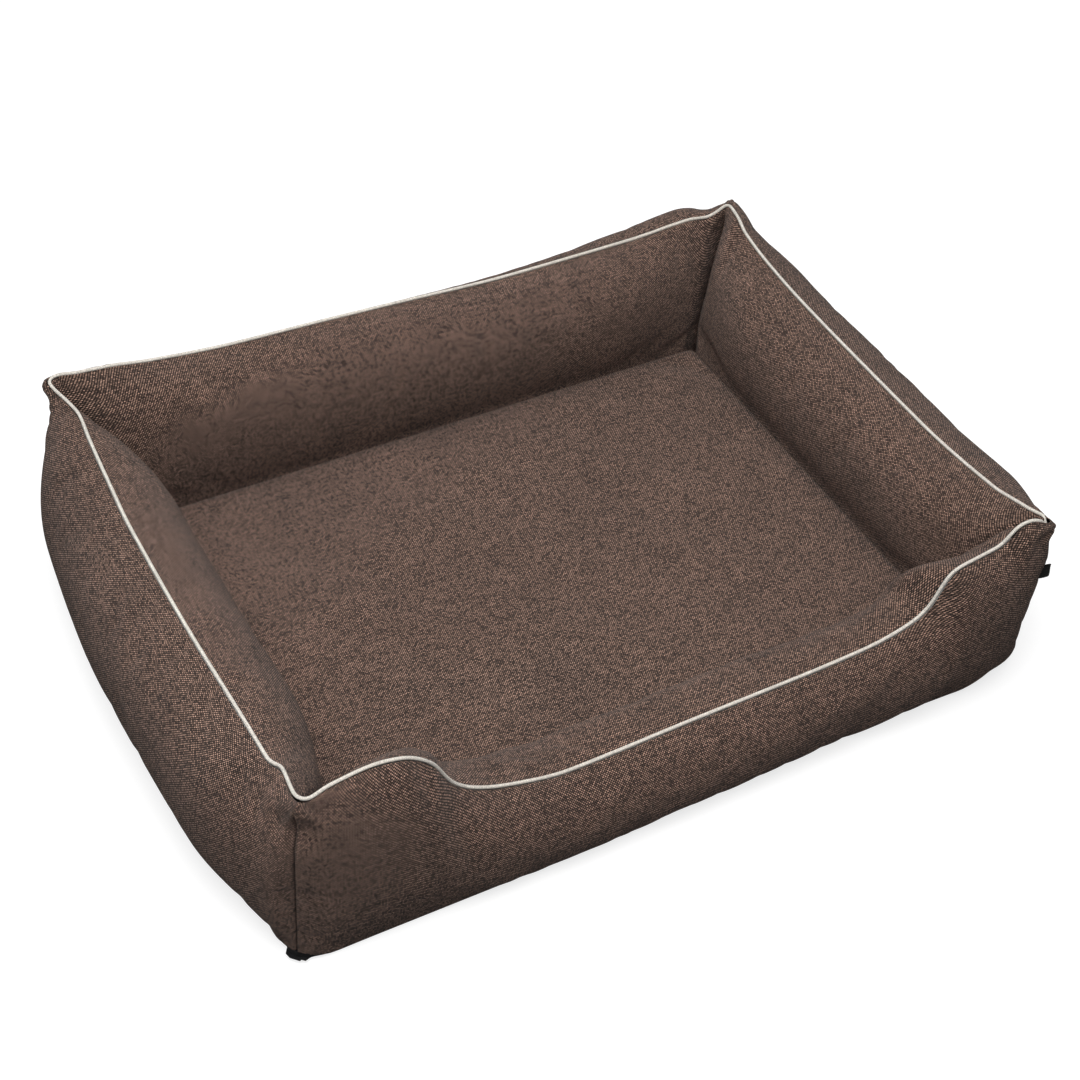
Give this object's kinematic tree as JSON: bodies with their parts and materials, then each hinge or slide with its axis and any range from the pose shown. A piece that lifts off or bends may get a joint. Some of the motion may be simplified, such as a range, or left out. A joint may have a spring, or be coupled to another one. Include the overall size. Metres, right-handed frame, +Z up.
{
  "type": "pet cushion bed",
  "caption": "Rectangular stuffed-wall pet bed with piped rim, dipped front entrance, non-slip base and a loose zipped mattress.",
  "frame": {"origin": "on the floor, under the middle of the bed", "axes": "+X along the long side, to the right of someone who faces the entrance; -Y out of the entrance; +Z up"},
  "size_m": [1.1348, 0.833, 0.2605],
  "materials": {
    "cover": "matt brown hopsack upholstery cloth",
    "piping": "smooth ivory bias strip",
    "base": "black non-slip cloth",
    "label": "black woven ribbon, blank",
    "filling": "white polyester fibre",
    "foam": "cream open-cell foam",
    "zip": "dark brown woven tape and nylon coil",
    "zip_metal": "dark enamelled metal"
  },
  "bodies": {
    "rim": {"base_panel": "base", "filling_front": "filling", "filling_back": "filling", "filling_left": "filling", "filling_right": "filling", "outer_panel_front": "cover", "outer_panel_back": "cover", "outer_panel_left": "cover", "outer_panel_right": "cover", "inner_panel_front": "cover", "inner_panel_back": "cover", "inner_panel_left": "cover", "inner_panel_right": "cover", "piping": "piping", "label_tab": "label", "rim_zip_tape_upper": "zip", "rim_zip_tape_lower": "zip", "rim_zip_coil": "zip", "rim_zip_stop_start": "zip_metal", "rim_zip_stop_finish": "zip_metal"},
    "rim_zip_slider": {"rim_zip_slider": "zip_metal"},
    "rim_zip_pull": {"rim_zip_pull": "zip_metal"},
    "mattress": {"mattress_top_panel": "cover", "mattress_band": "cover", "mattress_bottom_panel": "cover", "mattress_foam": "foam", "mattress_zip_tape_upper": "zip", "mattress_zip_tape_lower": "zip", "mattress_zip_coil": "zip", "mattress_zip_stop_start": "zip_metal", "mattress_zip_stop_finish": "zip_metal"},
    "mattress_zip_slider": {"mattress_zip_slider": "zip_metal"}
  },
  "joints": [
    {"name": "mattress_lift", "type": "slide", "parent": "rim", "child": "mattress", "axis": [0, 0, 1], "range_m": [0, 0.3]},
    {"name": "rim_zip_slide", "type": "slide", "parent": "rim", "child": "rim_zip_slider", "axis": [1, 0, 0], "range_m": [0, 0.48]},
    {"name": "rim_zip_pull_swing", "type": "hinge", "parent": "rim_zip_slider", "child": "rim_zip_pull", "pos_m": [-0.24, 0.40681, 0.03462], "axis": [1, 0, 0], "range_deg": [-8, 150]},
    {"name": "mattress_zip_slide", "type": "slide", "parent": "mattress", "child": "mattress_zip_slider", "axis": [1, 0, 0], "range_m": [0, 0.48]}
  ]
}
